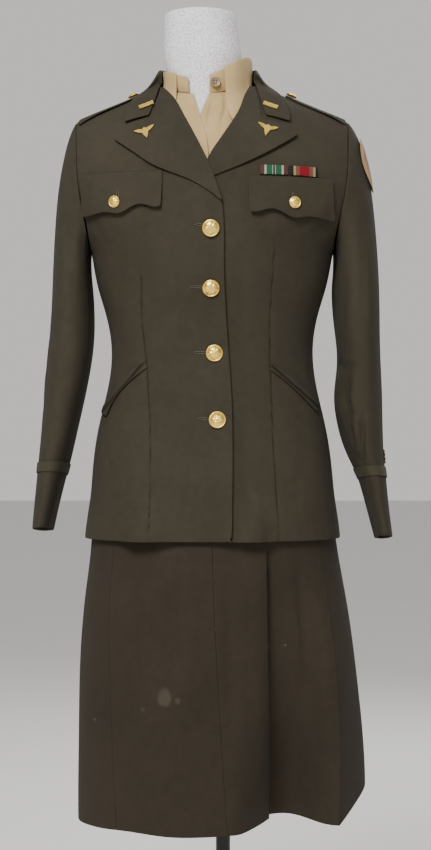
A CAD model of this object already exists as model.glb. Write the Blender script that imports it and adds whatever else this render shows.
"""Looks of a service uniform of the 1940s on a limbless dress form.

Metres, +Z up, the front towards -Y and the wearer's left towards +X. Places marked as the
garment's own are measured across from its centre line, which stands at BODY_X.
"""

import math

import bmesh
import bpy
import numpy as np
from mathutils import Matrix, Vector
from mathutils.bvhtree import BVHTree


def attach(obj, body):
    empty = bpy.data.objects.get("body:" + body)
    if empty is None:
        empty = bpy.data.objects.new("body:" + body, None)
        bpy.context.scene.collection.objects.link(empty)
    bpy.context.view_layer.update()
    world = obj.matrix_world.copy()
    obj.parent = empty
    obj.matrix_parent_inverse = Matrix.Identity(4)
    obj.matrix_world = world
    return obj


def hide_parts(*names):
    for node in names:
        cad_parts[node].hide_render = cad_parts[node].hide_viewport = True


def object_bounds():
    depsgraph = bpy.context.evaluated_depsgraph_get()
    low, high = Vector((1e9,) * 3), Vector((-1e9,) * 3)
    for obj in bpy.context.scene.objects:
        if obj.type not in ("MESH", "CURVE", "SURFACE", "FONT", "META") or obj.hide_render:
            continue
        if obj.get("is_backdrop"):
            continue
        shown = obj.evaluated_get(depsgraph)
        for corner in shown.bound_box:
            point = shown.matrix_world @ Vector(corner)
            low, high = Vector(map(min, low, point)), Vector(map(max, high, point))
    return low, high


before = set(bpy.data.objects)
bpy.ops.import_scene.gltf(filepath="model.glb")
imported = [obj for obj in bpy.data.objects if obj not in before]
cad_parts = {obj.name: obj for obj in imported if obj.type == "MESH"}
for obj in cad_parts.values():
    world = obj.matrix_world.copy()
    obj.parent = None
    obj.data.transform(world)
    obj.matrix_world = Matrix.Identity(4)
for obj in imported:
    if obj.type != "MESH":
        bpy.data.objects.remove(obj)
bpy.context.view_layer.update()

# Camera
# Level with the jacket's hem and a little to the wearer's right, as in the photograph.
lens = bpy.data.cameras.new("camera")
lens.lens = 78.7
camera = bpy.data.objects.new("camera", lens)
camera.location = (-0.0105, -2.6, 0.92)
camera.rotation_euler = (math.radians(90), 0, 0)
bpy.context.scene.collection.objects.link(camera)
bpy.context.scene.camera = camera

# Lights
# A soft light from the upper left, weaker ones from the right and from behind, and a pale
# surround that is dimmer at the uniform's two sides.
for name, place, aim, size, watts in (
        ("key_light", (-1.0, -3.1, 3.2), (0, 0, 1.0), 1.2, 175.0),
        ("fill_light", (2.6, -2.2, 1.2), (0, 0, 0.9), 1.6, 5.0),
        ("back_light", (1.2, 2.4, 2.6), (0, 0, 1.0), 2.2, 60.0)):
    lamp = bpy.data.lights.new(name, "AREA")
    lamp.energy = watts
    lamp.size = size
    lamp_object = bpy.data.objects.new(name, lamp)
    lamp_object.location = place
    lamp_object.rotation_euler = (Vector(aim) - Vector(place)).to_track_quat("-Z", "Y").to_euler()
    bpy.context.scene.collection.objects.link(lamp_object)
surround = bpy.data.worlds.new("surround")
surround.use_nodes = True
sky = surround.node_tree.nodes["Background"]
sky.inputs["Color"].default_value = (0.66, 0.645, 0.63, 1)
direction = surround.node_tree.nodes.new("ShaderNodeTexCoord")
split = surround.node_tree.nodes.new("ShaderNodeSeparateXYZ")
sideways = surround.node_tree.nodes.new("ShaderNodeMath")
sideways.operation = "ABSOLUTE"
dimming = surround.node_tree.nodes.new("ShaderNodeMapRange")
dimming.interpolation_type = "SMOOTHSTEP"
for socket, value in (("From Min", 0.25), ("From Max", 0.85), ("To Min", 1.04), ("To Max", 0.34)):
    dimming.inputs[socket].default_value = value
for output, socket in ((direction.outputs["Generated"], split.inputs[0]),
                       (split.outputs["X"], sideways.inputs[0]),
                       (sideways.outputs[0], dimming.inputs["Value"]),
                       (dimming.outputs[0], sky.inputs["Strength"])):
    surround.node_tree.links.new(output, socket)
bpy.context.scene.world = surround


# Dress form
# A padded form without limbs, covered in grey jersey. It is the CAD form, rounded and
# smoothed, and the jacket and skirt rest on it.
class Signal:
    """A number that runs through a material, on which sums and products can be written."""

    def __init__(self, finish, socket):
        self.finish = finish
        self.socket = socket

    def math(self, operation, *terms):
        node = self.finish.node("ShaderNodeMath", {"operation": operation},
                                dict(enumerate(terms)))
        return Signal(self.finish, node.outputs[0])

    def __add__(self, other):
        return self.math("ADD", self, other)

    def __mul__(self, other):
        return self.math("MULTIPLY", self, other)

    def __sub__(self, other):
        return self.math("SUBTRACT", self, other)

    def __rsub__(self, other):
        return self.math("SUBTRACT", other, self)

    __radd__ = __add__
    __rmul__ = __mul__

    def step(self, low, high):
        """Rise smoothly from 0 at low to 1 at high."""
        node = self.finish.node("ShaderNodeMapRange", {"interpolation_type": "SMOOTHSTEP"},
                                {"Value": self, "From Min": low, "From Max": high})
        return Signal(self.finish, node.outputs[0])

    def sine(self):
        return self.math("SINE", self)

    def size(self):
        return self.math("ABSOLUTE", self)

    def root(self):
        return self.math("SQRT", self)


class Finish:
    """A material in the making: constants sit on its shader, and nodes are linked to it."""

    def __init__(self, name, constants):
        self.material = bpy.data.materials.new(name)
        self.material.use_nodes = True
        self.tree = self.material.node_tree
        self.shader = self.tree.nodes["Principled BSDF"]
        for socket, value in constants.items():
            self.shader.inputs[socket].default_value = value

    def node(self, kind, settings, inputs):
        made = self.tree.nodes.new(kind)
        for name, value in settings.items():
            setattr(made, name, value)
        for place, value in inputs.items():
            if isinstance(value, Signal):
                self.tree.links.new(value.socket, made.inputs[place])
            else:
                made.inputs[place].default_value = value
        return made

    def place(self):
        """Object coordinates."""
        return Signal(self, self.node("ShaderNodeTexCoord", {}, {}).outputs["Object"])

    def threads(self):
        """Coordinates along and across the cloth's threads, in metres."""
        return Signal(self, self.node("ShaderNodeUVMap", {"uv_map": "threads"}, {}).outputs[0])

    def parts(self, vector):
        node = self.node("ShaderNodeSeparateXYZ", {}, {0: vector})
        return [Signal(self, socket) for socket in node.outputs]

    def kept(self, name):
        """A value that the mesh keeps for each point."""
        node = self.node("ShaderNodeAttribute", {"attribute_name": name}, {})
        return Signal(self, node.outputs["Fac"])

    def noise(self, vector, scale, detail=2.0):
        node = self.node("ShaderNodeTexNoise", {},
                         {"Vector": vector, "Scale": scale, "Detail": detail})
        return Signal(self, node.outputs[0])

    def mix(self, factor, first, second):
        node = self.node("ShaderNodeMix", {"data_type": "RGBA"},
                         {0: factor, 6: first, 7: second})
        return Signal(self, node.outputs[2])

    def bump(self, height, distance, strength=1.0):
        """Link a height between 0 and 1, times distance, to the shader's normal."""
        node = self.node("ShaderNodeBump", {},
                         {"Height": height, "Distance": distance, "Strength": strength})
        self.tree.links.new(node.outputs[0], self.shader.inputs["Normal"])

    def feed(self, socket, signal):
        self.tree.links.new(signal.socket, self.shader.inputs[socket])


def colour(red, green, blue):
    return (red, green, blue, 1.0)


BODY_X = -0.015
SHARP = math.radians(50)


def finer(name, levels, crispness, corners=1.0):
    """Points and quads of a finer copy of a CAD cloth piece.

    Doubles are merged and pairs of triangles joined. Subdivision rounds the rest, apart from
    sharp edges and the corners where they meet, whose crispness runs from 0 to 1.
    """
    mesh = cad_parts[name].data.copy()
    work = bmesh.new()
    work.from_mesh(mesh)
    bmesh.ops.remove_doubles(work, verts=work.verts, dist=1e-5)
    bmesh.ops.join_triangles(work, faces=work.faces, angle_face_threshold=0.9,
                             angle_shape_threshold=3.14)
    crease_of = work.edges.layers.float.new("crease_edge")
    peak_of = work.verts.layers.float.new("crease_vert")
    for edge in work.edges:
        edge[crease_of] = crispness * (edge.calc_face_angle(0.0) > SHARP)
    for corner in work.verts:
        corner[peak_of] = corners * (sum(edge[crease_of] > 0 for edge in corner.link_edges) > 2)
    work.to_mesh(mesh)
    work.free()
    piece = bpy.data.objects.new(name, mesh)
    bpy.context.scene.collection.objects.link(piece)
    smoother = piece.modifiers.new("rounding", "SUBSURF")
    smoother.levels = smoother.render_levels = levels
    rounded = bpy.data.meshes.new_from_object(
        piece.evaluated_get(bpy.context.evaluated_depsgraph_get()))
    bpy.data.objects.remove(piece)
    return points_of(rounded), corners_of(rounded)


def points_of(mesh):
    points = np.empty(len(mesh.vertices) * 3)
    mesh.vertices.foreach_get("co", points)
    return points.reshape(-1, 3)


def corners_of(mesh):
    corners = np.empty(len(mesh.loops), int)
    mesh.loops.foreach_get("vertex_index", corners)
    return corners.reshape(-1, 4)


def make_piece(name, points, faces, finish, slot, *nodes):
    """A smooth mesh piece that stands for the given CAD nodes and rides with the part."""
    mesh = bpy.data.meshes.new(name)
    faces = faces if isinstance(faces, list) else faces.tolist()
    mesh.from_pydata(np.asarray(points).reshape(-1, 3).tolist(), [], faces)
    mesh.shade_smooth()
    mesh.set_sharp_from_angle(angle=SHARP)
    mesh.materials.append(finish.material)
    piece = bpy.data.objects.new(name, mesh)
    bpy.context.scene.collection.objects.link(piece)
    if nodes:
        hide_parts(*nodes)
    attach(piece, "root")
    return piece


jersey = Finish("jersey", {"Roughness": 0.85, "Sheen Weight": 0.12, "Sheen Roughness": 0.5})
spot = jersey.place()
heather = jersey.noise(spot, 420.0, 4.0)
cloud = jersey.noise(spot, 14.0, 2.0)
jersey.feed("Base Color", jersey.mix((heather * 0.75 + cloud * 0.25).step(0.34, 0.58),
                                     colour(0.50, 0.485, 0.49), colour(0.93, 0.91, 0.92)))
up = jersey.parts(spot)[2]
knit = (up * 4400.0).sine() * 0.25 + heather * 0.75
jersey.bump(knit, 0.0009, 0.7)

form_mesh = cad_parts["dress_form"].data.copy()
form_work = bmesh.new()
form_work.from_mesh(form_mesh)
bmesh.ops.remove_doubles(form_work, verts=form_work.verts, dist=1e-5)
form_work.to_mesh(form_mesh)
form_work.free()
form = bpy.data.objects.new("form_source", form_mesh)
bpy.context.scene.collection.objects.link(form)
remesh = form.modifiers.new("even", "REMESH")
remesh.mode = "VOXEL"
remesh.voxel_size = 0.0054
smooth = form.modifiers.new("smooth", "SMOOTH")
smooth.factor = 0.5
smooth.iterations = 12
form_finished = bpy.data.meshes.new_from_object(
    form.evaluated_get(bpy.context.evaluated_depsgraph_get()))
bpy.data.objects.remove(form)
make_piece("form_cover", points_of(form_finished), corners_of(form_finished), jersey,
           "grey_felt", "dress_form")

# Stand
# A turned steel base with a brushed top and a black enamelled pole. The CAD solids stay.
steel = Finish("brushed_steel", {"Metallic": 1.0})
spot = steel.place()
across, back = steel.parts(spot)[:2]
grain = steel.noise((across * across + back * back).root(), 2200.0, 1.0)
wear = steel.noise(spot, 30.0, 3.0)
steel.feed("Base Color", steel.mix(wear, colour(0.36, 0.36, 0.37), colour(0.50, 0.50, 0.50)))
steel.feed("Roughness", grain * 0.15 + wear * 0.12 + 0.24)
steel.bump(grain, 0.00008, 0.5)
enamel = Finish("black_enamel", {"Coat Weight": 0.05, "Specular IOR Level": 0.25})
spot = enamel.place()
peel = enamel.noise(spot, 260.0, 2.0)
enamel.feed("Base Color", enamel.mix(enamel.noise(spot, 20.0, 3.0), colour(0.012, 0.012, 0.012),
                                     colour(0.030, 0.029, 0.028)))
enamel.feed("Roughness", peel * 0.2 + 0.35)
enamel.bump(peel, 0.0001, 0.3)
for name, finish in (("stand_base", steel), ("stand_pole", enamel)):
    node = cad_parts[name]
    for slot in node.material_slots:
        slot.link = "OBJECT"
        slot.material = finish.material


# Jacket body
# Two fronts and two backs of olive-drab wool, 2 mm thick, cut to a hanging shape. The fronts
# have a long dart each, and soft creases lie at the hem, the armholes and round the waist.
def rise(value, low, high):
    """Rise smoothly from 0 at low to 1 at high."""
    share = np.clip((value - low) / (high - low), 0, 1)
    return share * share * (3 - 2 * share)


def cross(points, line, steps=40):
    """Distance of each point from a line through own places, and its share along it."""
    line = np.asarray(line, float) + (BODY_X, 0, 0)
    keys = np.linspace(0, len(line) - 1, steps)
    spots = np.stack([np.interp(keys, np.arange(len(line)), column) for column in line.T], -1)
    gaps = np.linalg.norm((points[:, None] - spots[None])[..., [0, 2]], axis=-1)
    return gaps.min(1), gaps.argmin(1) / (steps - 1)


def crease(points, line, width, depth):
    """Inward move of a trough with raised sides that fades out at both ends of a line.

    The width is taken as seen from the front, or from the back where the line is there.
    """
    gap, along = cross(points, line)
    same_side = rise(points[:, 1] * np.sign(line[0][1]), 0.0, 0.02)
    fade = same_side * np.sin(math.pi * np.clip(along, 0.02, 0.98)) ** 0.8
    share = np.square(gap / width)
    return -depth * fade * (1 - 0.9 * share) * np.exp(-share)


def creased(points, creases):
    """Sum of the moves of several creases, each a line, its width and its depth."""
    return sum(crease(points, line, width, depth) for line, width, depth in creases)


def ripple(points, length, depth, seed):
    """Slow unevenness: a sum of seven sine waves with seeded directions and phases."""
    seeded = np.random.default_rng(seed)
    ways = seeded.normal(size=(7, 3))
    ways *= (2 * math.pi / length) / np.linalg.norm(ways, axis=1, keepdims=True)
    phases = seeded.uniform(0, 2 * math.pi, 7)
    return depth * np.sin(points @ ways.T + phases).sum(1) / 3.0


def outward(points, axis):
    """Direction away from an axis through a low and a high point."""
    low, high = np.asarray(axis, float)
    share = np.clip((points[:, 2] - low[2]) / (high[2] - low[2]), 0, 1)[:, None]
    away = points - (low + share * (high - low))
    return away / np.linalg.norm(away, axis=1, keepdims=True)


BODY_AXIS = ((BODY_X, 0.0, 0.0), (BODY_X, 0.0, 1.55))
SOFT_EDGE = 0.42
PRESSED_EDGE = 0.80


def shifted(points, moves, axis):
    """Points moved away from an axis by the sum of the moves."""
    return points + outward(points, axis) * sum(move(points) for move in moves)[:, None]


def dress(name, levels, moves, axis, finish, slot, corners=1.0):
    """A finished cloth piece: a finer copy, moved in or out by its folds, with thread lines.

    cut is the width, length and area of the flat piece. The thread coordinates are the way
    round the axis and the height, both in metres. Only the skirt has pressed edges.
    """
    crispness = PRESSED_EDGE if slot == "olive_wool_skirt" else SOFT_EDGE
    points, quads = finer(name, levels, crispness, corners)
    points = shifted(points, moves, axis)
    away = outward(points, axis)
    piece = make_piece("cloth_" + name, points, quads, finish, slot, name)
    radius = np.linalg.norm(points[:, :2] - np.asarray(axis[0])[:2], axis=1).mean()
    threads = np.stack([np.arctan2(away[:, 0], -away[:, 1]) * radius, points[:, 2]], -1)
    layer = piece.data.uv_layers.new(name="threads")
    layer.data.foreach_set("uv", threads[quads.ravel()].ravel())
    return piece


def wool(name, dark, light, seams=False, stains=()):
    """Napped wool twill: diagonal ribs, flecks of both colours and slow cloudiness.

    With seams, a dark drawn-in line runs where the piece's own value "seam" is near 0. A stain
    is its place across and up, its half width and half height, its strength and its colour.
    """
    finish = Finish(name, {"Sheen Weight": 0.02, "Sheen Roughness": 0.45,
                           "Specular IOR Level": 0.08})
    spot = finish.place()
    along, upwards = finish.parts(finish.threads())[:2]
    rib = ((along + upwards) * (2 * math.pi / 0.0013)).sine()
    fleck = finish.noise(spot, 1700.0, 2.0)
    cloud = finish.noise(spot, 9.0, 3.0)
    nap = finish.noise(spot, 90.0, 3.0)
    shade = fleck * 0.45 + cloud * 0.35 + nap * 0.20 + rib * 0.03
    tone = finish.mix(shade.step(0.22, 0.78), dark, light)
    for x, z, wide, high, strength, paint in stains:
        across, back, up = finish.parts(spot)
        far = (across - (x + BODY_X)) * (1 / wide)
        tall = (up - z) * (1 / high)
        reach = far * far + tall * tall + (nap - 0.5) * 1.4
        in_front = 1.0 - back.step(-0.05, 0.0)
        tone = finish.mix((1.0 - reach.step(0.25, 1.0)) * in_front * strength, tone, paint)
    height = rib * 0.25 + fleck * 0.55 + nap * 0.2
    if seams:
        seam = 1.0 - finish.kept("seam").size().step(0.0, 0.0022)
        tone = finish.mix(seam * 0.6, tone, colour(0.006, 0.005, 0.003))
        height = height - seam * 1.3
    finish.feed("Base Color", tone)
    finish.feed("Roughness", fleck * 0.2 + 0.72)
    finish.bump(height, 0.00045, 0.75)
    return finish


JACKET_DARK = colour(0.0285, 0.0240, 0.0160)
JACKET_LIGHT = colour(0.0540, 0.0460, 0.0315)
jacket_wool = wool("jacket_wool", JACKET_DARK, JACKET_LIGHT)
seamed_wool = wool("jacket_seamed_wool", JACKET_DARK, JACKET_LIGHT, seams=True)

# Darts, in the garment's own places: across, depth and height.
DARTS = (
    ((-0.0949, -0.1065, 1.120), (-0.0955, -0.0900, 1.067), (-0.0887, -0.0850, 1.002),
     (-0.0836, -0.1030, 0.927), (-0.0828, -0.1100, 0.870), (-0.0845, -0.1150, 0.766)),
    ((0.0839, -0.1230, 1.167), (0.0772, -0.0960, 1.059), (0.0781, -0.0890, 1.009),
     (0.0789, -0.0910, 0.989), (0.0823, -0.1090, 0.880), (0.0862, -0.1130, 0.820),
     (0.0891, -0.1140, 0.773)))


def pinch(points):
    """The cloth draws in gently along each dart."""
    total = np.zeros(len(points))
    for dart in DARTS:
        line = np.asarray(dart)
        middle = np.interp(points[:, 2], line[::-1, 2], line[::-1, 0]) + BODY_X
        gap = points[:, 0] - middle
        inside = ((points[:, 2] > line[-1, 2] - 0.02) & (points[:, 2] < line[0, 2])
                  & (points[:, 1] < 0))
        fade = np.clip((line[0, 2] - points[:, 2]) / 0.05, 0, 1)
        total -= 0.0007 * inside * fade * np.exp(-np.square(gap / 0.005))
    return total


def hem_wave(points):
    """The hem stands off the skirt, most of all in two places of the front."""
    across = points[:, 0] - BODY_X
    swell = (0.0035 + 0.0190 * np.exp(-np.square((across + 0.088) / 0.026))
             + 0.0160 * np.exp(-np.square((across - 0.047) / 0.020)) * (points[:, 1] < 0))
    return swell * (1 - rise(points[:, 2], 0.764, 0.835))


JACKET_CREASES = (
    (((-0.141, -0.075, 0.8235), (-0.110, -0.095, 0.8087), (-0.083, -0.105, 0.7953)),
     0.006, 0.0024),
    (((-0.135, -0.080, 0.845), (-0.145, -0.070, 0.880), (-0.150, -0.060, 0.910)),
     0.006, 0.0018),
    (((-0.015, -0.107, 1.020), (-0.045, -0.102, 1.012), (-0.080, -0.090, 1.000)),
     0.008, 0.0007),
    (((0.020, -0.107, 1.020), (0.050, -0.102, 1.030), (0.078, -0.093, 1.048)),
     0.008, 0.0007),
    (((-0.015, -0.118, 1.110), (-0.045, -0.115, 1.120), (-0.075, -0.110, 1.128)),
     0.010, 0.0006),
    (((-0.176, -0.050, 1.225), (-0.160, -0.080, 1.190), (-0.140, -0.100, 1.165)),
     0.011, 0.0016),
    (((0.172, -0.050, 1.235), (0.155, -0.085, 1.195), (0.130, -0.105, 1.165)),
     0.011, 0.0018),
    (((0.085, -0.120, 1.168), (0.105, -0.112, 1.180), (0.128, -0.105, 1.190)),
     0.009, 0.0010),
    (((0.120, -0.080, 0.960), (0.125, -0.080, 0.900), (0.122, -0.085, 0.840)),
     0.012, 0.0009),
    (((0.043, -0.120, 0.960), (0.045, -0.128, 0.860), (0.048, -0.130, 0.740)),
     0.014, 0.0034),
    (((0.038, -0.118, 1.170), (0.040, -0.112, 1.080), (0.040, -0.110, 0.980)),
     0.011, 0.0016),
    (((-0.165, 0.040, 1.190), (-0.140, 0.080, 1.150), (-0.100, 0.100, 1.120)),
     0.012, 0.0018),
    (((0.165, 0.040, 1.190), (0.140, 0.080, 1.150), (0.100, 0.100, 1.120)),
     0.012, 0.0018),
    (((-0.120, 0.080, 1.020), (-0.060, 0.100, 1.010), (-0.010, 0.104, 1.015)),
     0.010, 0.0013),
    (((0.120, 0.080, 1.028), (0.060, 0.100, 1.016), (0.010, 0.104, 1.022)),
     0.010, 0.0013))


def jacket_folds(points):
    return (ripple(points, 0.16, 0.0006, 3) + pinch(points) + hem_wave(points)
            + creased(points, JACKET_CREASES))


def edge_lift(points):
    """The edge of the right front stands a little off the left front below the lapels."""
    lift = 0.0024 * rise(points[:, 0] - BODY_X, 0.004, 0.024)
    return lift * (1 - rise(points[:, 2], 1.165, 1.205)) * (points[:, 1] < 0)


for name, cut, rests in (
        ("jacket_front_right", (0.290, 0.660, 0.158), ["jacket_front_left", "shirt_front_right"]),
        ("jacket_front_left", (0.290, 0.660, 0.158), ["shirt_front_left", "dress_form"]),
        ("jacket_back_right", (0.250, 0.660, 0.140), ["dress_form", "shirt_back"]),
        ("jacket_back_left", (0.250, 0.660, 0.140), ["dress_form", "shirt_back"])):
    front = "front" in name
    moves = (jacket_folds, edge_lift) if name == "jacket_front_right" else (jacket_folds,)
    piece = dress(name, 3 if front else 2, moves, BODY_AXIS,
                  seamed_wool if front else jacket_wool, "olive_wool")
    if front:
        points = points_of(piece.data)
        dart = np.asarray(DARTS[0] if "right" in name else DARTS[1])
        gap = points[:, 0] - BODY_X - np.interp(points[:, 2], dart[::-1, 2], dart[::-1, 0])
        gap = np.hypot(gap, np.clip(points[:, 2] - dart[0, 2], 0, None))
        piece.data.attributes.new("seam", "FLOAT", "POINT").data.foreach_set("value", gap)

# Lapels and collar
# Faced wool, turned back on the fronts; the collar stands at the back and folds over. Their
# free edges stand a little off the fronts and throw a soft shadow.
ROLL_LINES = {"right": ((0.0135, 1.215), (-0.0870, 1.400)),
              "left": ((-0.0185, 1.240), (0.0750, 1.400))}


def turned_back(points):
    """Lift of lapels and collar, growing with the way from the roll line."""
    total = np.zeros(len(points))
    for side, (low, high) in ROLL_LINES.items():
        sign = -1 if side == "right" else 1
        run = np.subtract(high, low) / np.linalg.norm(np.subtract(high, low))
        across = points[:, 0] - BODY_X - low[0]
        up = points[:, 2] - low[1]
        way = sign * (across * run[1] - up * run[0])
        total += 0.0030 * rise(way, 0.012, 0.060) * (points[:, 0] * sign > BODY_X * sign)
    return total * (1 - rise(points[:, 1], -0.045, -0.010))


for name, cut, held, rests in (
        ("lapel_right", (0.120, 0.190, 0.0125), "folded", ["jacket_front_right"]),
        ("lapel_left", (0.110, 0.160, 0.0092), "folded", ["jacket_front_left"]),
        ("jacket_collar", (0.480, 0.085, 0.0290), "folded", ["jacket_back_right",
                                                             "jacket_back_left"])):
    dress(name, 3, (jacket_folds, turned_back), BODY_AXIS, jacket_wool, "olive_wool",
          corners=0.45)

# Sleeves
# Two-piece sleeves, upper and under half. The left one has a deep fold down the forearm.
SLEEVE_AXES = {
    "right": ((-0.2505, -0.015, 0.765), (-0.205, 0.005, 1.22)),
    "left": ((0.2230, -0.015, 0.765), (0.190, 0.005, 1.22))}
RIGHT_SLEEVE_CREASES = (
    (((-0.236, -0.050, 1.010), (-0.215, -0.064, 0.985), (-0.190, -0.050, 0.975)),
     0.010, 0.0030),
    (((-0.232, -0.052, 1.050), (-0.212, -0.066, 1.035), (-0.185, -0.050, 1.030)),
     0.009, 0.0014),
    (((-0.238, -0.050, 0.960), (-0.222, -0.060, 0.930), (-0.205, -0.050, 0.890)),
     0.009, 0.0016),
    (((-0.200, -0.070, 1.200), (-0.195, -0.078, 1.150), (-0.185, -0.070, 1.100)),
     0.012, 0.0034),
    (((-0.236, 0.055, 1.020), (-0.215, 0.072, 1.000), (-0.190, 0.060, 1.000)),
     0.010, 0.0020))


def right_sleeve_folds(points):
    return ripple(points, 0.12, 0.0009, 8) + creased(points, RIGHT_SLEEVE_CREASES)


LEFT_SLEEVE_CREASES = (
    (((0.186, -0.048, 0.995), (0.181, -0.056, 0.960), (0.184, -0.056, 0.920),
      (0.193, -0.052, 0.880)), 0.008, 0.0095),
    (((0.207, -0.060, 0.940), (0.203, -0.060, 0.900), (0.204, -0.058, 0.860)),
     0.006, 0.0065),
    (((0.170, -0.030, 1.010), (0.180, -0.050, 0.998), (0.196, -0.060, 1.000)),
     0.008, 0.0042),
    (((0.178, -0.030, 0.955), (0.190, -0.050, 0.935), (0.205, -0.060, 0.940)),
     0.007, 0.0024),
    (((0.186, -0.030, 0.890), (0.200, -0.050, 0.872), (0.216, -0.058, 0.880)),
     0.006, 0.0020),
    (((0.207, -0.072, 1.250), (0.207, -0.074, 1.150), (0.208, -0.070, 1.060)),
     0.007, 0.0013),
    (((0.180, -0.060, 1.130), (0.176, -0.064, 1.090), (0.176, -0.060, 1.050)),
     0.011, 0.0036),
    (((0.236, 0.055, 1.010), (0.215, 0.072, 0.990), (0.190, 0.060, 0.985)),
     0.010, 0.0020))


def left_sleeve_folds(points):
    return ripple(points, 0.12, 0.0009, 9) + creased(points, LEFT_SLEEVE_CREASES)


SLEEVE_FOLDS = {"right": right_sleeve_folds, "left": left_sleeve_folds}
for side, folds in SLEEVE_FOLDS.items():
    for half, cut in (("upper", (0.215, 0.600, 0.105)), ("under", (0.120, 0.500, 0.050))):
        dress("sleeve_%s_%s" % (side, half), 3, (folds,), SLEEVE_AXES[side], jacket_wool,
              "olive_wool")

# Braid round the cuffs
# Woven olive braid, lighter than the cloth, with a herringbone of two slants.
braid = Finish("cuff_braid", {"Sheen Weight": 0.03, "Specular IOR Level": 0.12})
along, upwards = braid.parts(braid.threads())[:2]
BRAID_TURN = 3200.0  # Radians a metre, which is a slanting strand every 2 mm.
strand = (along * BRAID_TURN + upwards.size() * BRAID_TURN).sine() * 0.5 + 0.5
speck = braid.noise(braid.place(), 1400.0, 2.0)
braid.feed("Base Color", braid.mix(strand * 0.6 + speck * 0.4, colour(0.028, 0.025, 0.015),
                                   colour(0.064, 0.057, 0.034)))
braid.feed("Roughness", speck * 0.2 + 0.62)
braid.bump(strand, 0.0005, 0.8)
for side, folds in SLEEVE_FOLDS.items():
    dress("cuff_braid_" + side, 3, (folds,), SLEEVE_AXES[side], braid, "olive_braid")

# Flaps, welts and shoulder loops
# Scalloped chest flaps that stand off at their points, slanting welts at the waist and
# loops along the shoulders.
FLAP_TOP = 1.2550


def flap_lift(points):
    """The flaps stand off the fronts towards their points."""
    return 0.0044 * (1 - rise(points[:, 2], FLAP_TOP - 0.060, FLAP_TOP - 0.010))


def off_middle(points):
    """Distance from the middle line that runs the long way of a welt, seen from the front."""
    spread = points[:, [0, 2]] - points[:, [0, 2]].mean(0)
    return spread @ np.linalg.eigh(spread.T @ spread)[1][:, 0]


def lips(points):
    """Two rolled lips, with the slit between them drawn in."""
    gap = off_middle(points)
    return 0.0009 * (np.exp(-np.square((abs(gap) - 0.0042) / 0.0022))
                     - 1.3 * np.exp(-np.square(gap / 0.0013)))


for name, moves, cut, rests in (
        ("pocket_flap_right", (jacket_folds, flap_lift), (0.126, 0.062, 0.0069),
         "jacket_front_right"),
        ("pocket_flap_left", (jacket_folds, flap_lift), (0.126, 0.062, 0.0069),
         "jacket_front_left"),
        ("pocket_welt_right", (jacket_folds, lips), (0.105, 0.020, 0.0017), "jacket_front_right"),
        ("pocket_welt_left", (jacket_folds, lips), (0.095, 0.018, 0.0014), "jacket_front_left"),
        ("shoulder_loop_right", (jacket_folds,), (0.105, 0.046, 0.0041), "jacket_front_right"),
        ("shoulder_loop_left", (jacket_folds,), (0.105, 0.046, 0.0041), "jacket_front_left")):
    welt = "welt" in name
    piece = dress(name, 3, moves, BODY_AXIS,
                  seamed_wool if welt else jacket_wool, "olive_wool",
                  corners=0.6)
    if welt:
        # The slit is drawn wider than a dart by the inverse of this share.
        slit_gap = off_middle(points_of(piece.data)) * 0.7
        piece.data.attributes.new("seam", "FLOAT", "POINT").data.foreach_set("value", slit_gap)

# Buttonholes
# Whipped loops of thread round a dark slit: four across the right front's edge and one down
# each flap. Each row gives the middle of its start, its end and the piece that it is in.
thread = Finish("thread", {"Sheen Weight": 0.15})
twist = thread.noise(thread.place(), 2400.0, 2.0)
thread.feed("Base Color", thread.mix(twist, colour(0.048, 0.040, 0.024),
                                     colour(0.100, 0.084, 0.052)))
thread.feed("Roughness", twist * 0.2 + 0.6)
thread.bump(twist, 0.0003, 0.7)
slit = Finish("slit", {})
depths = slit.noise(slit.place(), 900.0, 2.0)
slit.feed("Base Color", slit.mix(depths, colour(0.006, 0.005, 0.004), colour(0.016, 0.013, 0.009)))
slit.feed("Roughness", depths * 0.1 + 0.85)


def loop_of_thread(start, end, half, thick, sides=8, steps=96):
    """Rings of points along a stadium from start to end, in a plane.

    The path is the straight run plus half * (cos, sin) of the turn. The thread's thickness
    goes up and down with the wraps.
    """
    turn = np.linspace(0, 2 * math.pi, steps, endpoint=False)
    run = np.subtract(end, start)
    along = run / np.linalg.norm(run)
    square = np.array((-along[1], along[0]))
    side = np.clip(0.5 + 0.72 * np.cos(turn), 0, 1)[:, None]
    path = start + side * run + half * (np.cos(turn)[:, None] * along * 0.6
                                        + np.sin(turn)[:, None] * square)
    wraps = thick * (1 + 0.25 * np.sin(turn * 30))[:, None]
    round_thread = np.linspace(0, 2 * math.pi, sides, endpoint=False)[None]
    out = (path - (start + side * run)) / half
    flat = path[:, None] + out[:, None] * (wraps * np.cos(round_thread))[..., None]
    return flat, wraps * np.sin(round_thread)


def between(index):
    """Quads between neighbouring rows and columns of a grid of point numbers."""
    quads = np.stack([index[:-1, :-1], index[:-1, 1:], index[1:, 1:], index[1:, :-1]], -1)
    return quads.reshape(-1, 4)


def tube(rings, sides):
    """Faces of a tube: quads between its rings of points and one face at each end."""
    index = np.arange(rings * sides).reshape(rings, sides)
    quads = between(np.hstack([index, index[:, :1]]))
    return quads.tolist() + [index[0, ::-1].tolist(), index[-1].tolist()]


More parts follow.
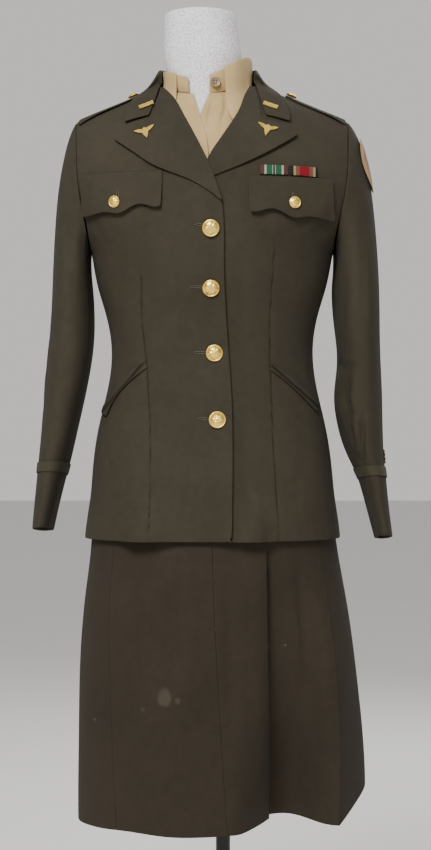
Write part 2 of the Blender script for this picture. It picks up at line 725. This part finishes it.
def sewn_in(name, start, end, carrier):
    """A buttonhole whose flat outline is laid on the carrier's surface."""
    surface = BVHTree.FromObject(carrier, bpy.context.evaluated_depsgraph_get())
    keys = np.linspace(-0.2, 1.2, 8)
    hits = []
    for key in keys:
        x, z = np.add(start, key * np.subtract(end, start))
        hits.append(surface.ray_cast(Vector((x + BODY_X, -0.5, z)), Vector((0, 1, 0)))[0].y)
    run = np.subtract(end, start)

    def laid(flat, height):
        share = (flat - start) @ run / (run @ run)
        return np.stack([flat[..., 0] + BODY_X, np.interp(share, keys, hits) - height,
                         flat[..., 1]], -1)

    flat, height = loop_of_thread(start, end, 0.0013, 0.0005)
    rings = laid(flat, height + 0.0002)
    steps, sides = rings.shape[:2]
    index = np.arange(steps * sides).reshape(steps, sides)
    quads = between(np.pad(index, ((0, 1), (0, 1)), mode="wrap"))
    make_piece("buttonhole_" + name, rings, quads, thread, "olive_wool")
    across = np.array((-run[1], run[0])) / np.linalg.norm(run) * 0.0007
    line = np.linspace(0, 1, 12)[:, None] * run + start
    proud = np.full(len(line), 0.0003)
    top = np.stack([laid(line - across, proud), laid(line + across, proud)], 1)
    low = top + (0, 0.0004, 0)
    corners = np.concatenate([top, low[:, ::-1]], 1)
    make_piece("slit_" + name, corners, tube(*corners.shape[:2]), slit, "olive_wool")


for name, start, end, carrier in (
        ("1", (-0.0240, 1.1868), (-0.0035, 1.1830), "cloth_jacket_front_right"),
        ("2", (-0.0280, 1.1044), (-0.0050, 1.1040), "cloth_jacket_front_right"),
        ("3", (-0.0232, 1.0175), (0.0000, 1.0170), "cloth_jacket_front_right"),
        ("4", (-0.0178, 0.9294), (0.0040, 0.9270), "cloth_jacket_front_right"),
        ("right_flap", (-0.1262, 1.2310), (-0.1266, 1.2180), "cloth_pocket_flap_right"),
        ("left_flap", (0.1079, 1.2290), (0.1075, 1.2160), "cloth_pocket_flap_left")):
    sewn_in(name, start, end, bpy.data.objects[carrier])

# Badges on the left sleeve
# A round-edged embroidered patch of plain rings and three gold service bars on wool.
badge = Finish("shoulder_patch", {"Sheen Weight": 0.15, "Specular IOR Level": 0.3})
back, up = badge.parts(badge.place())[1:]
PATCH_MIDDLE = (-0.004, 1.280)
PATCH_HALF = (0.033, 0.038)
far = (back - PATCH_MIDDLE[0]) * (1 / PATCH_HALF[0])
tall = (up - PATCH_MIDDLE[1]) * (1 / PATCH_HALF[1])
reach = (far * far + tall * tall).root()
stitch = ((back + up) * 5200.0).sine() * 0.5 + 0.5
tone = badge.mix(reach.step(0.40, 0.44), colour(0.012, 0.018, 0.060), colour(0.42, 0.27, 0.06))
tone = badge.mix(reach.step(0.52, 0.56), tone, colour(0.42, 0.090, 0.018))
tone = badge.mix(reach.step(0.80, 0.84), tone, colour(0.44, 0.29, 0.07))
badge.feed("Base Color", badge.mix(stitch * 0.35, tone, colour(0.05, 0.03, 0.02)))
badge.feed("Roughness", stitch * 0.2 + 0.55)
badge.bump(stitch, 0.0005, 0.8)
dress("shoulder_patch", 3, (left_sleeve_folds,), SLEEVE_AXES["left"], badge, "patch_felt")
bars = Finish("service_bars", {"Specular IOR Level": 0.4})
back, up = bars.parts(bars.place())[1:]
strand = ((back + up) * 6000.0).sine() * 0.5 + 0.5
BARS_FOOT = 0.87445
BARS_PITCH = 0.0062
rows = ((up - BARS_FOOT) * (2 * math.pi / BARS_PITCH)).sine()
shown = rows.step(-0.25, 0.05)
gold = bars.mix(strand, colour(0.42, 0.25, 0.05), colour(0.78, 0.55, 0.18))
bars.feed("Base Color", bars.mix(shown, JACKET_DARK, gold))
bars.feed("Roughness", 0.8 - shown * 0.4)
bars.bump(shown * 0.7 + strand * 0.3, 0.0007, 0.9)
dress("service_bars", 3, (left_sleeve_folds,), SLEEVE_AXES["left"], bars, "gilt_thread")


# Ribbons
# Two ribbed silk ribbons on bars, with upright stripes, each a share of its width.
def striped(name, start, width, stripes):
    """Silk ribbon: stripes of colour, each from its share of the width on, and fine ribs."""
    finish = Finish(name, {"Specular IOR Level": 0.15, "Sheen Weight": 0.02})
    spot = finish.place()
    across, up = finish.parts(spot)[::2]
    share = (across - (start + BODY_X)) * (1 / width)
    tone = stripes[0][1]
    for place, paint in stripes[1:]:
        tone = finish.mix(share.step(place - 0.008, place + 0.008), tone, paint)
    rib = (up * (2 * math.pi / 0.0009)).sine() * 0.5 + 0.5
    speck = finish.noise(spot, 1200.0, 2.0)
    finish.feed("Base Color", finish.mix(rib * 0.25 + speck * 0.15, tone,
                                         colour(0.02, 0.015, 0.015)))
    finish.feed("Roughness", speck * 0.2 + 0.45)
    finish.bump(rib, 0.0003, 0.7)
    return finish


BROWN = colour(0.085, 0.030, 0.022)
WHITE = colour(0.36, 0.33, 0.27)
GREEN = colour(0.012, 0.105, 0.045)
BLUE = colour(0.008, 0.008, 0.018)
YELLOW = colour(0.36, 0.26, 0.07)
PINK = colour(0.17, 0.070, 0.050)
RED = colour(0.22, 0.004, 0.010)
for name, start, width, stripes in (
        ("ribbon_bar_1", 0.0633, 0.0385,
         ((0, BROWN), (0.16, WHITE), (0.24, GREEN), (0.44, WHITE), (0.47, BLUE), (0.53, WHITE),
          (0.56, GREEN), (0.76, WHITE), (0.84, BROWN))),
        ("ribbon_bar_2", 0.1055, 0.0365,
         ((0, BLUE), (0.09, YELLOW), (0.18, PINK), (0.32, RED), (0.68, PINK), (0.82, YELLOW),
          (0.91, BLUE)))):
    silk = striped(name, start, width, stripes)
    points, quads = finer(name, 2, 0.3)
    make_piece("silk_" + name, shifted(points, (jacket_folds,), BODY_AXIS), quads, silk,
               "green_ribbon" if name == "ribbon_bar_1" else "red_ribbon", name)

# Shirt
# Plain-woven tan cotton: two fronts, back, band and the collar's leaves, with a four-hole
# button at the neck.
shirting = Finish("shirting", {"Sheen Weight": 0.08, "Specular IOR Level": 0.3})
along, upwards = shirting.parts(shirting.threads())[:2]
spot = shirting.place()
WEAVE_TURN = 6300.0  # Radians a metre, which is a thread every millimetre.
weave = (along * WEAVE_TURN).sine() * (upwards * WEAVE_TURN).sine() * 0.5 + 0.5
slub = shirting.noise(spot, 500.0, 2.0)
shadow = shirting.noise(spot, 25.0, 3.0)
shirting.feed("Base Color", shirting.mix(weave * 0.2 + slub * 0.4 + shadow * 0.4,
                                         colour(0.350, 0.225, 0.088), colour(0.640, 0.465, 0.230)))
shirting.feed("Roughness", slub * 0.2 + 0.65)
shirting.bump(weave * 0.6 + slub * 0.4, 0.00025, 0.6)


SHIRT_CREASES = (
    (((-0.026, -0.062, 1.374), (-0.020, -0.080, 1.345), (-0.010, -0.098, 1.305)),
     0.005, 0.0026),
    (((0.018, -0.062, 1.378), (0.019, -0.080, 1.352), (0.010, -0.098, 1.318)),
     0.005, 0.0032),
    (((0.003, -0.070, 1.366), (-0.003, -0.085, 1.346), (-0.006, -0.098, 1.322)),
     0.005, 0.0032))


def shirt_folds(points):
    return ripple(points, 0.05, 0.0005, 21) + creased(points, SHIRT_CREASES)


def band_tuck(points):
    """The band's lower edge is sewn down onto the fronts."""
    return -0.0018 * (1 - rise(points[:, 2], 1.374, 1.388))


def leaf_lift(points):
    """The left leaf of the shirt's collar stands open at its front edge."""
    near = 1 - rise(points[:, 0] - BODY_X, 0.026, 0.052)
    return 0.0065 * near * (points[:, 0] > BODY_X) * (points[:, 1] < 0)


for name, cut, held, rests in (
        ("shirt_front_right", (0.230, 0.470, 0.096), "hung", ["dress_form"]),
        ("shirt_front_left", (0.250, 0.470, 0.110), "hung", ["dress_form"]),
        ("shirt_back", (0.420, 0.470, 0.180), "hung", ["dress_form"]),
        ("shirt_band", (0.370, 0.034, 0.0112), "laid", ["dress_form"]),
        ("shirt_collar", (0.380, 0.050, 0.0104), "folded", ["shirt_band", "shirt_front_left"])):
    extra = {"shirt_band": (band_tuck,), "shirt_collar": (leaf_lift,)}.get(name, ())
    levels = {"shirt_front_left": 4, "shirt_front_right": 3}.get(name, 2)
    piece = dress(name, levels, (shirt_folds,) + extra, BODY_AXIS, shirting, "khaki_shirting")
    if name == "shirt_front_left":
        # Its top edge reaches up to the band, so that no gap shows between them.
        points = points_of(piece.data)
        points[:, 2] += 0.0032 * rise(points[:, 2], 1.345, 1.371)
        piece.data.vertices.foreach_set("co", points.ravel())

# Skirt
# Six gores of the same wool, a shade darker, on a waistband. A deep fold falls at the left
# front; a pale stain and small spots lie on the right front.
PALE = colour(0.080, 0.070, 0.053)
skirt_wool = wool("skirt_wool", colour(0.0235, 0.0185, 0.0125), colour(0.0435, 0.0345, 0.0240),
                  stains=((-0.0630, 0.5570, 0.0110, 0.0150, 0.5, PALE),
                          (-0.0460, 0.5530, 0.0040, 0.0050, 0.4, PALE),
                          (-0.0930, 0.5400, 0.0040, 0.0040, 0.3, PALE),
                          (-0.1600, 0.5190, 0.0022, 0.0022, 0.9, PALE),
                          (0.0750, 0.6220, 0.0022, 0.0022, 0.9, PALE),
                          (0.0990, 0.6220, 0.0022, 0.0022, 0.9, PALE)))


SKIRT_CREASES = (
    (((-0.137, -0.085, 0.580), (-0.145, -0.084, 0.550), (-0.146, -0.083, 0.525)),
     0.006, 0.0025),
    (((-0.154, -0.072, 0.567), (-0.160, -0.070, 0.548), (-0.160, -0.070, 0.530)),
     0.005, 0.0020),
    (((-0.100, -0.100, 0.740), (-0.105, -0.100, 0.640), (-0.115, -0.098, 0.500)),
     0.016, 0.0042),
    (((-0.050, -0.115, 0.740), (-0.052, -0.120, 0.620), (-0.060, -0.128, 0.440)),
     0.016, 0.0036),
    (((0.120, -0.075, 0.740), (0.130, -0.065, 0.640), (0.140, -0.055, 0.500)),
     0.012, 0.0046),
    (((0.022, -0.120, 0.740), (0.024, -0.128, 0.640), (0.026, -0.132, 0.470)),
     0.013, 0.0026))


def skirt_folds(points):
    total = ripple(points, 0.20, 0.0012, 14) + creased(points, SKIRT_CREASES)
    # A sharp wall on the left of the deep fold, and a slow rise on its right.
    way = points[:, 0] - BODY_X - np.interp(points[:, 2], (0.37, 0.77), (0.0800, 0.0740))
    deep = -0.0150 * rise(way, -0.003, 0.004) * np.exp(-np.clip(way, 0, None) / 0.028)
    bulge = 0.0040 * np.exp(-np.square((way + 0.012) / 0.014))
    total += (deep + bulge) * (points[:, 1] < 0) * rise(0.80 - points[:, 2], 0.0, 0.10)
    return total * np.clip((0.985 - points[:, 2]) / 0.2, 0, 1)


for name, cut in (
        ("skirt_front_left", (0.250, 0.640, 0.112)),
        ("skirt_side_left", (0.230, 0.640, 0.102)),
        ("skirt_back_left", (0.240, 0.640, 0.112)),
        ("skirt_back_right", (0.240, 0.640, 0.113)),
        ("skirt_side_right", (0.240, 0.640, 0.113)),
        ("skirt_front_right", (0.220, 0.640, 0.095)),
        ("skirt_waistband", (0.790, 0.034, 0.0262))):
    dress(name, 3, (skirt_folds,), BODY_AXIS, skirt_wool, "olive_wool_skirt")


# Buttons
# Gilt brass, domed, with a raised rim and a plain rosette. Each is turned on the seat of its
# CAD solid and follows the folds of the cloth that carries it.
def seat_of(name, towards):
    """Middle of a button's underside, its facing and its radius, from its CAD solid."""
    points = points_of(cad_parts[name].data)
    points = np.unique(points.round(6), axis=0)
    middle = points.mean(0)
    flattest = np.linalg.eigh(np.cov((points - middle).T))[1][:, 0]
    facing = flattest * np.sign(flattest @ np.asarray(towards))
    heights = (points - middle) @ facing
    flat = points - middle - heights[:, None] * facing
    return middle + heights.min() * facing, facing, np.linalg.norm(flat, axis=1).max()


PETALS = 8


def face_axes(facing):
    """Sideways and upward directions in the face of a button."""
    sideways = np.cross((0.0, 0.02, 1.0), facing)
    sideways /= np.linalg.norm(sideways)
    return sideways, np.cross(facing, sideways)


def turn(profile, relief, seat, facing, scale, sides=72):
    """Points and faces of a turned piece: radius and height rows, with a relief in petals.

    The height of a point is its row's height plus relief times cos(PETALS * angle).
    """
    sideways, upwards = face_axes(facing)
    angle = np.linspace(0, 2 * math.pi, sides, endpoint=False)[None, :, None]
    radius, height = np.asarray(profile, float).T[..., None, None] * scale
    height = height + np.reshape(relief, (-1, 1, 1)) * scale * np.cos(PETALS * angle)
    grid = seat + radius * (np.cos(angle) * sideways + np.sin(angle) * upwards) + height * facing
    return grid.reshape(-1, 3), tube(len(grid), sides)


brass = Finish("gilt_brass", {"Metallic": 0.85})
spot = brass.place()
tarnish = brass.noise(spot, 160.0, 4.0)
scratch = brass.noise(spot, 1500.0, 2.0)
brass.feed("Base Color", brass.mix(tarnish.step(0.45, 0.80), colour(1.0, 0.70, 0.16),
                                   colour(0.50, 0.28, 0.04)))
brass.feed("Roughness", tarnish * 0.22 + scratch * 0.10 + 0.20)
brass.bump(scratch * 0.4 + tarnish * 0.6, 0.00030, 0.6)
PROFILE = ((0.82, 0.00), (0.97, 0.06), (1.00, 0.14), (1.00, 0.20), (0.965, 0.26), (0.92, 0.27),
           (0.885, 0.24), (0.86, 0.235), (0.80, 0.29), (0.72, 0.36), (0.62, 0.43), (0.50, 0.485),
           (0.38, 0.52), (0.30, 0.535), (0.25, 0.525), (0.20, 0.53), (0.12, 0.565), (0.04, 0.575))
RELIEF = (0, 0, 0, 0, 0, 0, 0, 0, 0.006, 0.018, 0.026, 0.026, 0.018, 0.008, 0, 0, 0, 0)
for name, towards, moves in (
        [("front_button_%d" % number, (0, -1, 0), (jacket_folds, edge_lift))
         for number in (1, 2, 3, 4)]
        + [("flap_button_" + side, (0, -1, 0), (jacket_folds, flap_lift))
           for side in ("right", "left")]
        + [("loop_button_" + side, (0, 0, 1), (jacket_folds,)) for side in ("right", "left")]):
    seat, facing, radius = seat_of(name, towards)
    seat = shifted(seat[None], moves, BODY_AXIS)[0]
    points, faces = turn(PROFILE, RELIEF, seat, facing, radius)
    make_piece("gilt_" + name, points, faces, brass, "gilt_brass", name)

# Pins
# Plain bars on the collar and two-leaf sprigs on the lapels, in the same gilt brass. They
# follow the lift of the cloth that carries them.
for name in ("collar_bar_right", "collar_bar_left", "lapel_sprig_right", "lapel_sprig_left"):
    points, quads = finer(name, 2, 0.70)
    make_piece("gilt_" + name, shifted(points, (jacket_folds, turned_back), BODY_AXIS), quads,
               brass, "gilt_brass", name)

# Shirt button
# A dished horn button with a rolled rim, four holes and the thread that crosses them.
horn = Finish("shirt_button", {"Coat Weight": 0.3, "Coat Roughness": 0.2})
spot = horn.place()
streak = horn.noise(spot, 300.0, 4.0)
horn.feed("Base Color", horn.mix(streak, colour(0.15, 0.10, 0.055), colour(0.36, 0.27, 0.16)))
horn.feed("Roughness", streak * 0.2 + 0.25)
horn.bump(streak, 0.0001, 0.3)
seat, facing, radius = seat_of("shirt_button", (0, -1, 0))
seat = shifted(seat[None], (shirt_folds,), BODY_AXIS)[0]
radius *= 1.2  # The rim is broader than the CAD solid's.
RIM = ((0.80, 0.00), (0.97, 0.08), (1.00, 0.20), (0.97, 0.34), (0.88, 0.41), (0.76, 0.38),
       (0.68, 0.27), (0.60, 0.22), (0.30, 0.21), (0.04, 0.21))
points, faces = turn(RIM, (0,) * len(RIM), seat, facing, radius)
make_piece("horn_shirt_button", points, faces, horn, "shirt_button_horn", "shirt_button")
sideways, upwards = face_axes(facing)
HOLE = ((0.135, 0.0), (0.14, 0.04), (0.10, 0.07), (0.03, 0.075))
for number, (right, high) in enumerate(((-1, -1), (1, -1), (1, 1), (-1, 1))):
    middle = seat + radius * (0.26 * (right * sideways + high * upwards) + 0.19 * facing)
    points, faces = turn(HOLE, (0,) * len(HOLE), middle, facing, radius, 16)
    make_piece("button_hole_%d" % number, points, faces, slit, "shirt_button_horn")

# Floor
# A plain pale floor under the stand.
floor_mesh = bpy.data.meshes.new("floor")
floor_mesh.from_pydata([(-20, -20, 0), (20, -20, 0), (20, 20, 0), (-20, 20, 0)], [],
                       [(0, 1, 2, 3)])
pale = Finish("floor", {})
grainy = pale.noise(pale.place(), 3.0, 3.0)
pale.feed("Base Color", pale.mix(grainy, colour(0.84, 0.83, 0.82), colour(0.88, 0.87, 0.86)))
pale.feed("Roughness", grainy * 0.1 + 0.8)
floor_mesh.materials.append(pale.material)
floor = bpy.data.objects.new("floor", floor_mesh)
bpy.context.scene.collection.objects.link(floor)
floor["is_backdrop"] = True

low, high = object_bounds()
